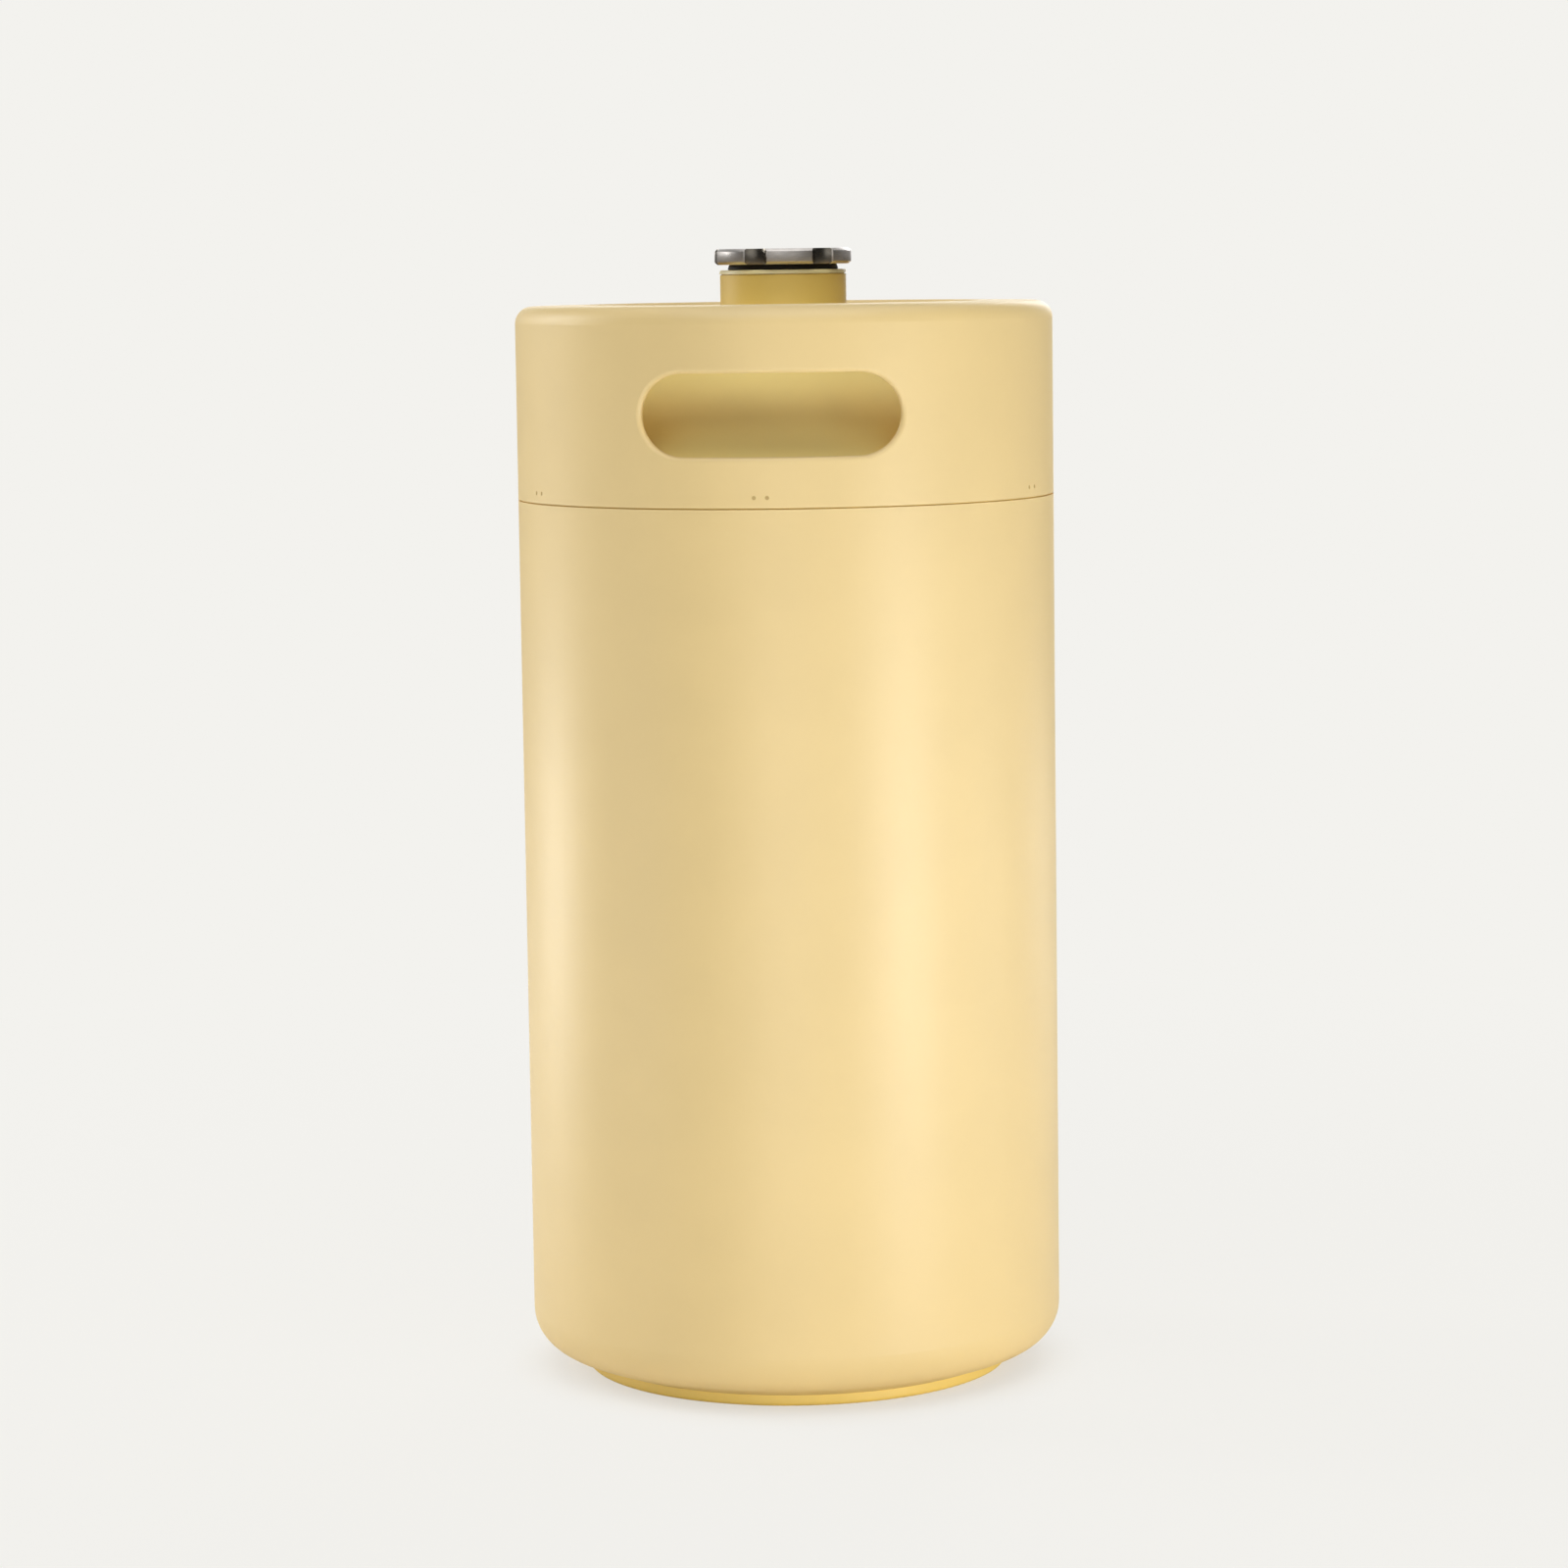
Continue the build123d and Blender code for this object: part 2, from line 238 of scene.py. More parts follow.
def build_turned_lines() -> bpy.types.NodeTree:
    """Makes the group for the fine rings that a lathe tool leaves round the keg's axis.

    Returns:
        A group whose Lines is a value that changes across the rings and whose Height is the same
        with a broader wave.
    """
    inputs = {"Fineness": 2600.0, "Run": 6.0}
    tree = new_group(Effect.TURNED_LINES, inputs, ("Lines", "Height"))
    wiring = Wiring(tree)
    given = wiring.add("NodeGroupInput").outputs
    parts = wiring.add("ShaderNodeSeparateXYZ", {0: wiring.place()}).outputs
    square_x = wiring.math("MULTIPLY", parts["X"], parts["X"])
    square_y = wiring.math("MULTIPLY", parts["Y"], parts["Y"])
    radius = wiring.math("SQRT", wiring.math("ADD", square_x, square_y))
    round_about = wiring.math("ARCTAN2", parts["Y"], parts["X"])
    across = wiring.math("MULTIPLY", wiring.math("ADD", radius, parts["Z"]), given["Fineness"])
    along = wiring.math("MULTIPLY", round_about, given["Run"])
    vector = wiring.add("ShaderNodeCombineXYZ", {"X": across, "Y": along, "Z": 0.0}).outputs[0]
    lines = wiring.noise(vector, scale=1.0, detail=3.0)
    broad = wiring.noise(vector, scale=0.12, detail=1.0)
    height = wiring.math("ADD", lines, broad)
    wiring.add("NodeGroupOutput", {"Lines": lines, "Height": height})
    return tree


BUILDERS = {Effect.POWDER_GRAIN: build_powder_grain, Effect.TURNED_LINES: build_turned_lines}


def effect_tree(effect: Effect) -> bpy.types.NodeTree:
    """The effect's node group, made the first time that it is asked for."""
    return bpy.data.node_groups.get(effect.value) or BUILDERS[effect]()


def scaled(colour: Colour, factor: float) -> Colour:
    """The colour, lighter or darker by a factor."""
    return tuple(min(1.0, channel * factor) for channel in colour)


@dataclass(frozen=True)
class Finish:
    """A procedural finish, whose material is built the first time that it is asked for."""

    name: str
    colour: Colour

    def material(self) -> bpy.types.Material:
        """Finds or builds the finish's material.

        Returns:
            The material.
        """
        made = bpy.data.materials.get(self.name)
        if made:
            return made
        made = bpy.data.materials.new(self.name)
        made.use_nodes = True
        made.node_tree.nodes.clear()
        wiring = Wiring(made.node_tree)
        shader = wiring.add("ShaderNodeBsdfPrincipled")
        wiring.add("ShaderNodeOutputMaterial", {"Surface": shader.outputs[0]})
        self.wire(wiring, shader)
        return made

    def wire(self, wiring: Wiring, shader: bpy.types.Node) -> None:
        """Adds the finish's own nodes.

        Args:
            wiring: The material's tree.
            shader: Its Principled BSDF.
        """
        raise NotImplementedError

    def tint(self, wiring: Wiring, shader: bpy.types.Node, tone: Socket, spread: float) -> None:
        """Varies the base colour about the finish's own.

        Args:
            wiring: The material's tree.
            shader: Its Principled BSDF.
            tone: 0 where the colour is darkest and 1 where it is lightest.
            spread: The share by which it goes either way.
        """
        dark, light = scaled(self.colour, 1 - spread), scaled(self.colour, 1 + spread)
        inputs = {"Factor": tone, 6: (*dark, 1.0), 7: (*light, 1.0)}
        mixed = wiring.add("ShaderNodeMix", inputs, data_type="RGBA").outputs[2]
        wiring.tree.links.new(mixed, shader.inputs["Base Color"])

    def emboss(
        self, wiring: Wiring, shader: bpy.types.Node, height: Socket, strength: float, distance: float
    ) -> None:
        """Raises the surface by a height.

        Args:
            wiring: The material's tree.
            shader: Its Principled BSDF.
            height: The height, about 0 to 1.
            strength: How much of it shows.
            distance: What a height of 1 stands for, in metres.
        """
        inputs = {"Height": height, "Strength": strength, "Distance": distance}
        bump = wiring.add("ShaderNodeBump", inputs)
        wiring.tree.links.new(bump.outputs[0], shader.inputs["Normal"])


@dataclass(frozen=True)
class PowderCoat(Finish):
    """A satin powder coat: a clear, slightly rippled skin on an even colour."""

    roughness: float = 0.45
    roughness_spread: float = 0.04
    gloss: float = 0.8
    patchiness: float = 0.02
    bump: float = 0.12
    bump_height: float = 0.00006  # metres

    def wire(self, wiring: Wiring, shader: bpy.types.Node) -> None:
        """Adds the grain of the coat.

        Args:
            wiring: The material's tree.
            shader: Its Principled BSDF.
        """
        grain = wiring.effect(Effect.POWDER_GRAIN)
        low, high = self.roughness - self.roughness_spread, self.roughness + self.roughness_spread
        rough = wiring.remap(grain["Rough"], NOISE_SPAN, (low, high))
        wiring.tree.links.new(rough, shader.inputs["Roughness"])
        shader.inputs["Specular IOR Level"].default_value = self.gloss
        self.tint(wiring, shader, wiring.remap(grain["Tone"], PATCH_SPAN, FULL_SPAN), self.patchiness)
        self.emboss(wiring, shader, grain["Height"], self.bump, self.bump_height)


@dataclass(frozen=True)
class TurnedSteel(Finish):
    """Stainless steel with the rings of turning or brushing round the keg's axis."""

    roughness: float = 0.3
    roughness_spread: float = 0.1
    metallic: float = 1.0
    streak: float = 0.12
    bump: float = 0.15
    bump_height: float = 0.00004  # metres
    anisotropy: float = 0.5

    def wire(self, wiring: Wiring, shader: bpy.types.Node) -> None:
        """Adds the rings.

        Args:
            wiring: The material's tree.
            shader: Its Principled BSDF.
        """
        rings = wiring.effect(Effect.TURNED_LINES)
        low, high = self.roughness - self.roughness_spread, self.roughness + self.roughness_spread
        rough = wiring.remap(rings["Lines"], NOISE_SPAN, (high, low))
        wiring.tree.links.new(rough, shader.inputs["Roughness"])
        shader.inputs["Metallic"].default_value = self.metallic
        shader.inputs["Anisotropic"].default_value = self.anisotropy
        self.tint(wiring, shader, wiring.remap(rings["Lines"], NOISE_SPAN, FULL_SPAN), self.streak)
        self.emboss(wiring, shader, rings["Height"], self.bump, self.bump_height)


@dataclass(frozen=True)
class Matt(Finish):
    """A dull material with a fine grain, for rubber, solder and weld dots."""

    roughness: float = 0.6
    metallic: float = 0.0
    patchiness: float = 0.2
    bump: float = 0.2
    bump_height: float = 0.00005  # metres
    grain: float = 3000.0  # features per metre

    def wire(self, wiring: Wiring, shader: bpy.types.Node) -> None:
        """Adds the grain.

        Args:
            wiring: The material's tree.
            shader: Its Principled BSDF.
        """
        grain = wiring.effect(Effect.POWDER_GRAIN, {"Grain": self.grain})
        shader.inputs["Roughness"].default_value = self.roughness
        shader.inputs["Metallic"].default_value = self.metallic
        self.tint(wiring, shader, grain["Rough"], self.patchiness)
        self.emboss(wiring, shader, grain["Height"], self.bump, self.bump_height)


# Meshes


def finish_mesh(name: str, mesh: bmesh.types.BMesh) -> bpy.types.Object:
    """Turns a bmesh in millimetres into a smooth-shaded object in metres.

    Args:
        name: The object's name.
        mesh: The bmesh, which is freed.

    Returns:
        The object, linked to the scene.
    """
    bmesh.ops.scale(mesh, vec=(MM, MM, MM), verts=mesh.verts)
    bmesh.ops.recalc_face_normals(mesh, faces=mesh.faces)
    data = bpy.data.meshes.new(name)
    mesh.to_mesh(data)
    mesh.free()
    shade(data)
    made = bpy.data.objects.new(name, data)
    bpy.context.scene.collection.objects.link(made)
    return made


def shade(data: bpy.types.Mesh) -> None:
    """Shades a mesh smooth, apart from its sharp edges."""
    data.shade_smooth()
    data.set_sharp_from_angle(angle=radians(SHARP_ANGLE))


def bake_modifiers(piece: bpy.types.Object) -> None:
    """Replaces a piece's mesh by the result of its modifiers.

    Args:
        piece: The piece, whose modifiers are then removed.
    """
    graph = bpy.context.evaluated_depsgraph_get()
    graph.update()
    made = bpy.data.meshes.new_from_object(piece.evaluated_get(graph))
    piece.modifiers.clear()
    piece.data = made
    shade(made)


def rounded(points: list[Point], radii: list[float], steps: int = 6) -> list[Point]:
    """Rounds the inner corners of an open outline.

    Args:
        points: The outline's corners, first to last.
        radii: A radius for each inner corner, 0 to leave it sharp.
        steps: How many short runs each arc has.

    Returns:
        The outline's points, arcs included.
    """
    outline = [points[0]]
    for before, corner, after, radius in zip(points, points[1:], points[2:], radii):
        if radius == 0:
            outline.append(corner)
            continue
        back = Vector(before) - Vector(corner)
        ahead = Vector(after) - Vector(corner)
        back.normalize()
        ahead.normalize()
        half = back.angle(ahead) / 2
        centre = Vector(corner) + (back + ahead).normalized() * (radius / sin(half))
        start = Vector(corner) + back * (radius / tan(half)) - centre
        end = Vector(corner) + ahead * (radius / tan(half)) - centre
        turn = start.angle(end)
        for step in range(steps + 1):
            share = step / steps
            arm = (start * sin((1 - share) * turn) + end * sin(share * turn)) / sin(turn)
            outline.append(tuple(centre + arm))
    outline.append(points[-1])
    return outline


def turned(
    outline: list[Point],
    segments: int,
    closed: bool = True,
    relief: Callable[[float, float, float], float] | None = None,
) -> bmesh.types.BMesh:
    """Turns an outline round the keg's axis.

    Args:
        outline: (radius, height) points. A radius of 0 makes a pole.
        segments: How many steps round.
        closed: Whether the last point joins the first.
        relief: Gives the true radius at a point from its radius, height and angle, for a thread.

    Returns:
        The mesh, in millimetres.
    """
    mesh = bmesh.new()
    rings = []
    for radius, height in outline:
        if radius < TINY:
            rings.append([mesh.verts.new((0, 0, height))] * segments)
            continue
        ring = []
        for step in range(segments):
            angle = 2 * pi * step / segments
            reach = relief(radius, height, angle) if relief else radius
            ring.append(mesh.verts.new((reach * cos(angle), reach * sin(angle), height)))
        rings.append(ring)
    pairs = list(zip(rings, rings[1:]))
    if closed:
        pairs.append((rings[-1], rings[0]))
    for low, high in pairs:
        for step in range(segments):
            after = (step + 1) % segments
            corners = [low[step], low[after], high[after], high[step]]
            mesh.faces.new(list(dict.fromkeys(corners)))
    return mesh


@dataclass(frozen=True)
class Thread:
    """A right-handed trapezoidal thread round the keg's axis, in millimetres."""

    pitch: float = 3.0
    depth: float = 1.1
    crest: float = 0.25  # share of the pitch
    flank: float = 0.18  # share of the pitch, each side
    start: float = 0.0  # share of a turn
    fade: float = 1.2  # height over which the thread runs out at each end

    def ridge(self, height: float, angle: float, low: float, high: float) -> float:
        """How high the ridge stands at a point.

        Args:
            height: The point's height.
            angle: The point's angle round the axis.
            low: Where the thread ends below.
            high: Where the thread ends above.

        Returns:
            A height from 0 to the thread's depth.
        """
        phase = height / self.pitch - angle / (2 * pi) + self.start
        off = abs(phase - floor(phase) - 0.5)
        rise = min(1.0, max(0.0, (self.crest / 2 + self.flank - off) / self.flank))
        end = min(1.0, max(0.0, (height - low) / self.fade), max(0.0, (high - height) / self.fade))
        return self.depth * rise * end


def rows_between(low: float, high: float, step: float) -> list[float]:
    """Even heights from low to high, at most a step apart."""
    count = ceil(abs(high - low) / step)
    return [low + (high - low) * index / count for index in range(count + 1)]


def dress(piece: bpy.types.Object, material: bpy.types.Material) -> None:
    """Gives a piece one material.

    Args:
        piece: A CAD node or a new piece.
        material: The material for all of it.
    """
    if not piece.material_slots:
        piece.data.materials.append(material)
    for slot in piece.material_slots:
        slot.material = material


def seat(piece: bpy.types.Object, body: Body, node: str) -> None:
    """Sets a new piece on its body and hides the CAD node that it stands for.

    Args:
        piece: The new piece.
        body: The body that it rides on.
        node: The CAD node that it stands for.
    """
    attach(piece, body.value)
    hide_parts(node)


# Sub-assemblies


class Assembly(Protocol):
    """What main builds: a sub-assembly of the keg, the studio or the camera."""

    def build(self) -> list[str]:
        """Builds or dresses its pieces and gives their names."""
        ...


@dataclass
class CoatedShell:
    """The pressed and welded steel outside: barrel, foot, cover, shoulder, collar and neck."""

    coat: PowderCoat
    # Deeper, more saturated copy of the coat that paints the shade and yellow bounce light on the neck
    # sleeve and foot.
    painted_shade_coat: PowderCoat
    # Lighter, more saturated copy of the coat that paints the light inside the collar, seen through the
    # hand slots.
    painted_light_coat: PowderCoat
    # Darker copy of the coat that paints the shade in the weld dimples.
    weld_dimple_shade_coat: Matt

    def finishes(self) -> dict[str, Finish]:
        """Each node's finish."""
        return {
            "barrel_shell": self.coat,
            "base_cover": self.coat,
            "handle_collar": self.coat,
            # The shoulder, seen through the hand slots, takes the copy that paints the light inside the
            # collar.
            "shoulder_shell": self.painted_light_coat,
            # Base pan and neck sleeve take the deeper copy that paints their shade and yellow bounce
            # light.
            "base_pan": self.painted_shade_coat,
            "neck_sleeve": self.painted_shade_coat,
            # The weld dots take the darker copy that paints the shade in their dimples.
            "spot_welds": self.weld_dimple_shade_coat,
        }

    def build(self) -> list[str]:
        """Dresses the shell's nodes.

        Returns:
            Their names.
        """
        for node, finish in self.finishes().items():
            dress(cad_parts[node], finish.material())
        return list(self.finishes())


@dataclass
class Liner:
    """The bare inner vessel and the vacuum parts between the walls."""

    steel: TurnedSteel
    solder: Matt
    steel_nodes: tuple[str, ...] = (
        "liner_base",
        "liner_tube",
        "liner_shoulder",
        "getter_capsule",
        "getter_strap",
    )
    solder_node: str = "vacuum_seal_bead"

    def build(self) -> list[str]:
        """Dresses the liner's nodes and the solder bead.

        Returns:
            Their names.
        """
        for node in self.steel_nodes:
            dress(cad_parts[node], self.steel.material())
        dress(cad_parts[self.solder_node], self.solder.material())
        return [*self.steel_nodes, self.solder_node]


@dataclass
class Mouth:
    """The turned ring in the neck: a flange outside in a paler copy of the coat, which paints a highlight
    on it, and a bare threaded bore inside.
    """

    # Paler copy of the coat, which paints the highlight on the flange.
    coat: PowderCoat
    steel: TurnedSteel
    thread: Thread
    bore_radius: float = 14.0
    lead_in: float = 0.6
    spigot_radius: float = 16.0
    sleeve_radius: float = 17.8
    step_drop: float = 8.0
    flange_height: float = 1.4
    flange_taper: float = 0.4
    flange_edge: float = 0.35
    seam_radius: float = 18.5  # groove between the sleeve's end and the flange
    seam_height: float = 0.25
    row: float = 0.2
    segments: int = 192

    def build(self) -> list[str]:
        """Builds the ring.

        Returns:
            Its name.
        """
        low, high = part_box("mouth_ring")
        foot, top, reach = low.z / MM, high.z / MM, high.x / MM
        bore = [(self.bore_radius, height) for height in rows_between(top - self.lead_in, foot, self.row)]
        thread_low, thread_high = foot + self.row, top - self.lead_in

        def relief(radius: float, height: float, angle: float) -> float:
            """Lets the thread stand into the bore.

            Args:
                radius: The point's radius on the outline.
                height: Its height.
                angle: Its angle round the axis.

            Returns:
                Its radius on the ring.
            """
            if abs(radius - self.bore_radius) > TINY or height > thread_high:
                return radius
            return radius - self.thread.ridge(height, angle, thread_low, thread_high)

        outline = [*self.outside(foot, top, reach), *bore[:-1]]
        ring = finish_mesh("threaded_mouth", turned(outline, self.segments, relief=relief))
        self.paint(ring, self.bore_radius + self.lead_in)
        seat(ring, Body.KEG, "mouth_ring")
        return [ring.name]

    def outside(self, foot: float, top: float, reach: float) -> list[Point]:
        """The ring's outline, from the bore's lower edge round the outside to its upper edge.

        Args:
            foot: The ring's lowest height.
            top: Its highest.
            reach: The flange's radius.

        Returns:
            (radius, height) points.
        """
        step = top - self.step_drop
        under_flange = top - self.flange_height
        flange_low = under_flange + self.seam_height
        corners = [
            (self.bore_radius, foot),
            (self.spigot_radius, foot),
            (self.spigot_radius, step),
            (self.sleeve_radius, step),
            (self.sleeve_radius, under_flange),
            (self.seam_radius, under_flange),
            (self.seam_radius, flange_low),
            (reach, flange_low),
            (reach - self.flange_taper, top),
            (self.bore_radius + self.lead_in, top),
        ]
        return rounded(corners, [0, 0, 0, 0, 0, 0, 0, self.flange_edge])

    def paint(self, ring: bpy.types.Object, bare_within: float) -> None:
        """Coats the outside in a paler copy of the coat, which paints a highlight on the flange, and
        leaves the bore bare.

        Args:
            ring: The ring.
            bare_within: Faces whose middle is closer to the axis than this are bare, in millimetres.
        """
        ring.data.materials.append(self.coat.material())
        ring.data.materials.append(self.steel.material())
        for face in ring.data.polygons:
            inside = hypot(face.center.x, face.center.y) / MM < bare_within
            face.material_index = 1 if inside else 0


@dataclass
class ScrewCap:
    """The lobed steel head and its hollow threaded stem."""

    steel: TurnedSteel
    # darker steel that paints the shade in the notches
    notch_shade_steel: TurnedSteel
    thread: Thread
    head_height: float = 4.7
    lobes: int = 6
    lobe_turn: float = 9.2  # degrees from the front to a lobe's middle
    notch_radius: float = 4.9
    notch_depth: float = 2.2
    notch_lip: float = 0.3  # depth from which the notches' painted shade starts
    upright_lean: float = 0.5  # most that an upright face's normal points up or down
    corner_ease: float = 0.3  # softness of the corners between lobe and notch
    top_chamfer: float = 0.8
    under_width: float = 1.0
    under_height: float = 0.8
    overcut: float = 1.0  # by which the lobed bar stands past the profile that cuts it
    edge_radius: float = 0.3
    edge_steps: int = 3
    edge_angle: float = 28.0  # degrees, past which an edge is softened
    stem_radius: float = 13.8
    stem_wall: float = 2.4
    stem_roof: float = 3.0
    stem_chamfer: float = 0.8
    gasket_height: float = 1.6
    row: float = 0.2
    segments: int = 192
    head_segments: int = 360
    notch_steps: int = 72

    def build(self) -> list[str]:
        """Builds head and stem.

        Returns:
            Their names.
        """
        low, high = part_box("screw_cap")
        top = high.z / MM
        radius = max(high.y, -low.y) / MM
        head = self.head(top, radius)
        stem = self.stem(low.z / MM, top - self.head_height)
        for piece in (head, stem):
            dress(piece, self.steel.material())
            seat(piece, Body.CAP, "screw_cap")
        self.paint_notch_shade(head, radius)
        return [head.name, stem.name]

    def paint_notch_shade(self, head: bpy.types.Object, radius: float) -> None:
        """Paints shade into the notches with a darker steel.

        Args:
            head: The head.
            radius: The lobes' radius.
        """
        head.data.materials.append(self.notch_shade_steel.material())
        for face in head.data.polygons:
            sunk = hypot(face.center.x, face.center.y) / MM < radius - self.notch_lip
            upright = abs(face.normal.z) < self.upright_lean
            face.material_index = 1 if sunk and upright else 0

    def outline(self, radius: float) -> list[Point]:
        """The lobed outline seen from above.

        Args:
            radius: The lobes' radius.

        Returns:
            Its (x, y) points, once round.
        """
        points = []
        for lobe in range(self.lobes):
            notch = radians(self.lobe_turn - 90) + 2 * pi * (lobe + 0.5) / self.lobes
            points += self.notch_points(notch, radius)
        return points

    def notch_points(self, middle: float, radius: float) -> list[Point]:
        """The outline from one lobe's middle, through the notch, to the next lobe's middle.

        Args:
            middle: The notch's angle.
            radius: The lobes' radius.

        Returns:
            The (x, y) points, without the last one.
        """
        centre = radius - self.notch_depth + self.notch_radius
        half_lobe = pi / self.lobes
        points = []
        for step in range(self.notch_steps):
            offset = half_lobe * (2 * step / self.notch_steps - 1)
            reach = radius
            across = centre * sin(offset)
            if abs(across) < self.notch_radius:
                wall = centre * cos(offset) - sqrt(self.notch_radius**2 - across**2)
                reach = self.soft_least(radius, wall)
            points.append((reach * cos(middle + offset), reach * sin(middle + offset)))
        return points

    def soft_least(self, first: float, second: float) -> float:
        """The smaller of two values, eased where they are within a corner's softness."""
        gap = max(self.corner_ease - abs(first - second), 0.0) / self.corner_ease
        return min(first, second) - gap * gap * self.corner_ease / 4

    def head(self, top: float, radius: float) -> bpy.types.Object:
        """Cuts the lobed bar to the turned profile and softens its edges.

        Args:
            top: The height of the head's upper face.
            radius: The lobes' radius.

        Returns:
            The head.
        """
        under = top - self.head_height
        profile = [
            (0, under),
            (radius - self.under_width, under),
            (radius, under + self.under_height),
            (radius, top - self.top_chamfer),
            (radius - self.top_chamfer, top),
            (0, top),
        ]
        head = finish_mesh("lobed_head", self.bar(under - self.overcut, top + self.overcut, radius))
        cutter = finish_mesh("cutter", turned(profile, self.head_segments, closed=False))
        cut = head.modifiers.new("cut", "BOOLEAN")
        cut.operation = "INTERSECT"
        cut.solver = "EXACT"
        cut.object = cutter
        bevel = head.modifiers.new("edges", "BEVEL")
        bevel.width = self.edge_radius * MM
        bevel.segments = self.edge_steps
        bevel.limit_method = "ANGLE"
        bevel.angle_limit = radians(self.edge_angle)
        bake_modifiers(head)
        bpy.data.objects.remove(cutter)
        return head

    def bar(self, low: float, high: float, radius: float) -> bmesh.types.BMesh:
        """Makes the straight bar with the lobed outline.

        Args:
            low: Its lower end.
            high: Its upper end.
            radius: The lobes' radius.

        Returns:
            The bar, in millimetres.
        """
        bar = bmesh.new()
        outline = self.outline(radius)
        low_ring = [bar.verts.new((x, y, low)) for x, y in outline]
        high_ring = [bar.verts.new((x, y, high)) for x, y in outline]
        bar.faces.new(low_ring)
        bar.faces.new(high_ring)
        for index in range(len(outline)):
            after = (index + 1) % len(outline)
            bar.faces.new((low_ring[index], low_ring[after], high_ring[after], high_ring[index]))
        return bar

    def stem(self, foot: float, under: float) -> bpy.types.Object:
        """Turns the hollow stem with its thread.

        Args:
            foot: The height of the stem's lower end.
            under: The height of the head's under face.

        Returns:
            The stem.
        """
        hollow = self.stem_radius - self.stem_wall
        thread_top = under - self.gasket_height
        rows = rows_between(foot + self.stem_chamfer, thread_top, self.row)
        outline = [
            (0, under - self.stem_roof),
            (hollow, under - self.stem_roof),
            (hollow, foot),
            (self.stem_radius - self.stem_chamfer, foot),
            *((self.stem_radius, height) for height in rows),
            (self.stem_radius, under),
            (0, under),
        ]
        root = self.stem_radius - self.thread.depth
        fade = self.thread.fade

        def relief(radius: float, height: float, angle: float) -> float:
            """Cuts the thread into the stem's side, and lets its groove run out at the top.

            Args:
                radius: The point's radius on the outline.
                height: Its height.
                angle: Its angle round the axis.

            Returns:
                Its radius on the stem.
            """
            if abs(radius - self.stem_radius) > TINY or height > thread_top:
                return radius
            groove = root + self.thread.ridge(height, angle, foot - fade, thread_top + fade)
            run_out = (height - thread_top + fade) / fade
            return max(groove, root + self.thread.depth * run_out)

        return finish_mesh("cap_stem", turned(outline, self.segments, closed=False, relief=relief))


@dataclass
class Gasket:
    """The black ring between mouth and cap, squeezed a little outward."""

    rubber: Matt
    inner_radius: float = 14.0
    lower_radius: float = 16.75
    upper_radius: float = 16.2
    edge_radius: float = 0.35
    segments: int = 160

    def build(self) -> list[str]:
        """Builds the gasket.

        Returns:
            Its name.
        """
        low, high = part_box("cap_gasket")
        foot, top = low.z / MM, high.z / MM
        middle = (foot + top) / 2
        inner_edge = self.edge_radius / 2
        corners = [
            (self.inner_radius, middle),
            (self.inner_radius, foot),
            (self.lower_radius, foot),
            (self.upper_radius, top),
            (self.inner_radius, top),
            (self.inner_radius, middle),
        ]
        outline = rounded(corners, [inner_edge, self.edge_radius, self.edge_radius, inner_edge])
        ring = finish_mesh("rubber_ring", turned(outline[:-1], self.segments))
        dress(ring, self.rubber.material())
        seat(ring, Body.SEAL, "cap_gasket")
        return [ring.name]


# Studio


@dataclass(frozen=True)
class SoftBox:
    """A rectangular lamp that faces the keg."""

    name: str
    azimuth: float  # degrees round from the front, towards +X
    away: float  # metres from the keg's axis
    rise: float  # metres above the floor
    width: float
    height: float
    power: float  # watts

    @classmethod
    def low(cls, name: str, azimuth: float, power: float) -> "SoftBox":
        """A small lamp near the keg, just above the floor."""
        return cls(name, azimuth, away=0.8, rise=0.06, width=0.3, height=0.1, power=power)

    @classmethod
    def tall(cls, name: str, azimuth: float, power: float) -> "SoftBox":
        """A tall lamp further off, above the keg."""
        return cls(name, azimuth, away=1.5, rise=0.8, width=0.35, height=0.8, power=power)

    def build(self, target: Vector) -> bpy.types.Object:
        """Makes the lamp.

        Args:
            target: The point that it faces.

        Returns:
            The lamp.
        """
        turn = radians(self.azimuth)
        data = bpy.data.lights.new(self.name, "AREA")
        data.shape = "RECTANGLE"
        data.size, data.size_y = self.width, self.height
        data.energy = self.power
        lamp = bpy.data.objects.new(self.name, data)
        bpy.context.scene.collection.objects.link(lamp)
        lamp.location = (sin(turn) * self.away, -cos(turn) * self.away, self.rise)
        lamp.rotation_mode = "QUATERNION"
        lamp.rotation_quaternion = (lamp.location - target).to_track_quat("Z", "Y")
        lamp.visible_camera = False
        return lamp


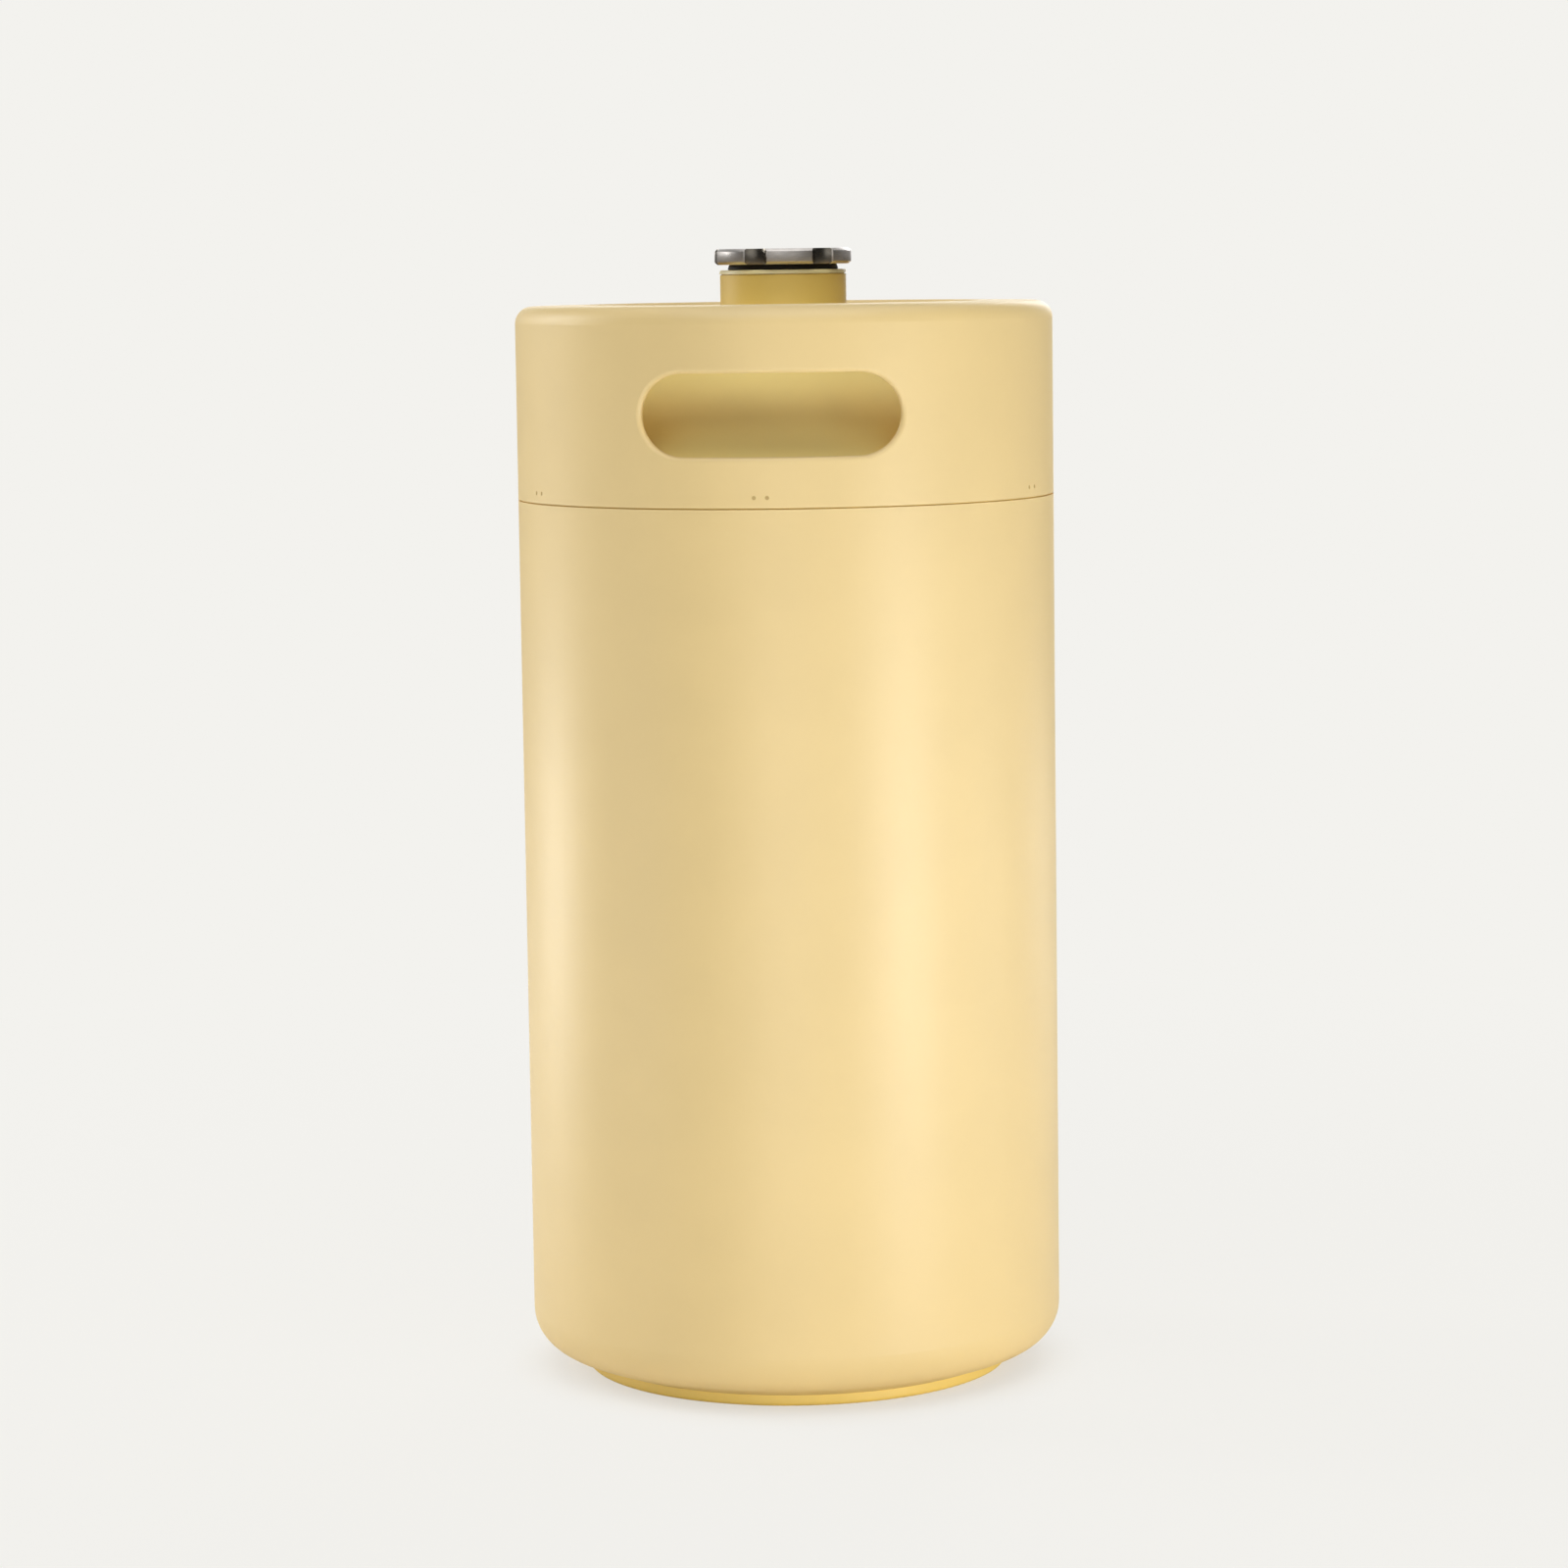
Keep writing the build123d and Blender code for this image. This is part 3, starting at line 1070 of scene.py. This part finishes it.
@dataclass
class Studio:
    """A white sweep, soft lamps and an even pale surround."""

    surround: Colour = (0.896, 0.887, 0.855)
    ambient: float = 0.08
    front_level: float = 0.75  # what gloss sees in front, at the sides and behind
    side_level: float = 0.06
    back_level: float = 0.4
    front_span: Span = (-0.98, -0.7)  # Y of the headings where the front runs out into the sides
    back_span: Span = (0.3, 0.7)  # and the sides into the back
    floor_colour: Colour = (0.95, 0.94, 0.91)
    floor_size: float = 40.0  # metres across
    floor_glow: float = 0.9  # share of the floor near the keg that shows the plain surround
    fade_span: Span = (0.3, 0.75)  # metres from the keg where that share goes to all of it
    contact_glow: float = 0.6  # the same share under the keg, where its shadow is deepest
    contact_span: Span = (0.064, 0.09)  # metres from the axis where that goes to floor_glow
    lamps: tuple[SoftBox, ...] = (
        SoftBox("overhead", azimuth=0, away=0.01, rise=1.8, width=1.8, height=1.8, power=10.2),
        SoftBox("overhead_front", azimuth=0, away=0.9, rise=1.6, width=1.6, height=1.6, power=10.3),
        SoftBox.low("front_low", azimuth=0, power=0.73),
        SoftBox.low("right_low", azimuth=50, power=2.0),
        SoftBox.low("right_side_low", azimuth=90, power=0.55),
        SoftBox.low("right_rear_low", azimuth=130, power=0.26),
        SoftBox.low("left_low", azimuth=-60, power=0.36),
        SoftBox.low("left_side_low", azimuth=-110, power=0.9),
        SoftBox.tall("left_tall", azimuth=-105, power=5.0),
        SoftBox.tall("left_rear_tall", azimuth=-120, power=2.8),
        SoftBox.tall("right_rear_tall", azimuth=165, power=3.5),
        SoftBox("rear", azimuth=180, away=1.5, rise=0.45, width=0.9, height=0.9, power=4.5),
    )

    def build(self) -> list[str]:
        """Builds floor, surround and lamps.

        Returns:
            The names of floor and lamps.
        """
        target = Vector((0, 0, (cad_box[0].z + cad_box[1].z) / 2))
        self.build_world()
        sweep = self.build_floor()
        lamps = [lamp.build(target) for lamp in self.lamps]
        return [sweep.name, *(lamp.name for lamp in lamps)]

    def build_world(self) -> None:
        """Shows the even surround, and to gloss a room that is pale in front and dim at the sides."""
        world = bpy.data.worlds.new("surround")
        bpy.context.scene.world = world
        world.use_nodes = True
        world.node_tree.nodes.clear()
        wiring = Wiring(world.node_tree)
        path = wiring.add("ShaderNodeLightPath").outputs
        heading = wiring.add("ShaderNodeTexCoord").outputs["Generated"]
        to_back = wiring.add("ShaderNodeSeparateXYZ", {0: heading}).outputs["Y"]
        in_front = wiring.remap(to_back, self.front_span, (self.front_level - self.side_level, 0.0))
        behind = wiring.remap(to_back, self.back_span, (self.side_level, self.back_level))
        room = wiring.math("ADD", in_front, behind)
        level = wiring.remap(path["Is Glossy Ray"], FULL_SPAN, (self.ambient, room))
        light = wiring.add("ShaderNodeBackground", {"Color": (*WHITE, 1), "Strength": level})
        shown = wiring.add("ShaderNodeBackground", {"Color": (*self.surround, 1), "Strength": 1.0})
        inputs = {0: path["Is Camera Ray"], 1: light.outputs[0], 2: shown.outputs[0]}
        mix = wiring.add("ShaderNodeMixShader", inputs)
        wiring.add("ShaderNodeOutputWorld", {"Surface": mix.outputs[0]})

    def build_floor(self) -> bpy.types.Object:
        """Lays the floor.

        Returns:
            The floor.
        """
        half = self.floor_size / 2
        data = bpy.data.meshes.new("floor")
        corners = [(-half, -half, 0), (half, -half, 0), (half, half, 0), (-half, half, 0)]
        data.from_pydata(corners, [], [(0, 1, 2, 3)])
        sweep = bpy.data.objects.new("floor", data)
        bpy.context.scene.collection.objects.link(sweep)
        dress(sweep, self.floor_material())
        return sweep

    def floor_material(self) -> bpy.types.Material:
        """Makes the matt floor, whose colour runs out into the surround away from the keg.

        Returns:
            Its material.
        """
        material = bpy.data.materials.new("sweep")
        material.use_nodes = True
        material.node_tree.nodes.clear()
        wiring = Wiring(material.node_tree)
        matt = wiring.add("ShaderNodeBsdfDiffuse", {"Color": (*self.floor_colour, 1)})
        plain = wiring.add("ShaderNodeEmission", {"Color": (*self.surround, 1), "Strength": 1.0})
        away = wiring.add("ShaderNodeVectorMath", {0: wiring.place()}, operation="LENGTH").outputs["Value"]
        near = wiring.remap(away, self.contact_span, (self.contact_glow, self.floor_glow))
        far = wiring.remap(away, self.fade_span, (0.0, 1.0 - self.floor_glow))
        camera_ray = wiring.add("ShaderNodeLightPath").outputs["Is Camera Ray"]
        share = wiring.math("MULTIPLY", wiring.math("ADD", near, far), camera_ray)
        mix = wiring.add("ShaderNodeMixShader", {0: share, 1: matt.outputs[0], 2: plain.outputs[0]})
        wiring.add("ShaderNodeOutputMaterial", {"Surface": mix.outputs[0]})
        return material


@dataclass
class Camera:
    """A view of the front from a little above the rim and to the right, tipped by under a degree."""

    distance: float = 1386.6  # from the keg's axis, millimetres
    height: float = 334.8  # above the floor, millimetres
    azimuth: float = 3.2  # degrees round from the front, towards +X
    focal_pixels: float = 4663.0
    frame_pixels: float = 1600.0
    pitch: float = 0.1126  # radians, downwards
    roll: float = -0.0137
    yaw: float = -0.0013
    sensor: float = 36.0

    def build(self) -> list[str]:
        """Makes the scene's camera.

        Returns:
            Its name.
        """
        turn = radians(self.azimuth)
        heading = self.yaw - turn
        place = Vector((sin(turn) * self.distance, -cos(turn) * self.distance, self.height)) * MM
        ahead = Vector((sin(heading) * cos(self.pitch), cos(heading) * cos(self.pitch), -sin(self.pitch)))
        level = ahead.cross(Vector((0, 0, 1))).normalized()
        upright = level.cross(ahead)
        right = cos(self.roll) * level + sin(self.roll) * upright
        above = cos(self.roll) * upright - sin(self.roll) * level
        data = bpy.data.cameras.new("camera")
        data.sensor_width = self.sensor
        data.lens = self.focal_pixels / self.frame_pixels * self.sensor
        camera = bpy.data.objects.new("camera", data)
        bpy.context.scene.collection.objects.link(camera)
        camera.matrix_world = Matrix(
            (
                (right.x, above.x, -ahead.x, place.x),
                (right.y, above.y, -ahead.y, place.y),
                (right.z, above.z, -ahead.z, place.z),
                (0, 0, 0, 1),
            )
        )
        bpy.context.scene.camera = camera
        return [camera.name]


def main() -> None:
    """Builds the keg's finishes and pieces, then the studio and the camera."""
    logging.basicConfig(level=logging.INFO, format="%(name)s: %(message)s")
    bpy.context.scene.view_settings.view_transform = "Standard"
    coat = PowderCoat("satin_gold_powder", (0.88, 0.665, 0.3))
    # A deeper, more saturated copy of the coat, which paints shade and yellow bounce light on the neck
    # sleeve and foot.
    painted_shade_coat = PowderCoat("gold_powder_painted_shade", (0.98, 0.73, 0.19))
    # A lighter, more saturated copy of the coat, which paints the light on the shoulder inside the collar.
    painted_light_coat = PowderCoat("gold_powder_painted_light", (0.93, 0.755, 0.275), roughness=0.6, gloss=0.35)
    # A paler copy of the coat, which paints the highlight on the mouth's flange.
    painted_highlight_coat = PowderCoat("gold_powder_painted_highlight", (0.98, 0.86, 0.43), gloss=1.0)
    # A darker copy of the coat, which paints the shade in the weld dimples.
    weld_dimple_shade_coat = Matt("weld_painted_shade", (0.60, 0.42, 0.16), roughness=0.5)
    liner_steel = TurnedSteel("bare_liner_steel", (0.60, 0.59, 0.57), roughness=0.34)
    cap_steel = TurnedSteel(
        "turned_cap_steel", (0.63, 0.595, 0.56), roughness=0.32, roughness_spread=0.06, metallic=0.85
    )
    # A darker steel, which paints the shade in the cap's notches.
    notch_shade_steel = TurnedSteel(
        "steel_notch_painted_shade", (0.25, 0.225, 0.185), roughness=0.24, roughness_spread=0.05
    )
    rubber = Matt("black_rubber", (0.012, 0.012, 0.011))
    solder = Matt("soft_solder", (0.42, 0.42, 0.43), roughness=0.45, metallic=0.8)
    stem_thread = Thread()
    mouth_thread = Thread(start=0.5)  # its ridges lie in the stem's grooves
    assemblies: tuple[Assembly, ...] = (
        CoatedShell(coat, painted_shade_coat, painted_light_coat, weld_dimple_shade_coat),
        Liner(liner_steel, solder),
        Mouth(painted_highlight_coat, liner_steel, mouth_thread),
        ScrewCap(cap_steel, notch_shade_steel, stem_thread),
        Gasket(rubber),
        Studio(),
        Camera(),
    )
    for assembly in assemblies:
        for name in assembly.build():
            log.info("%s: %s", type(assembly).__name__, name)


if __name__ == "__main__":
    main()
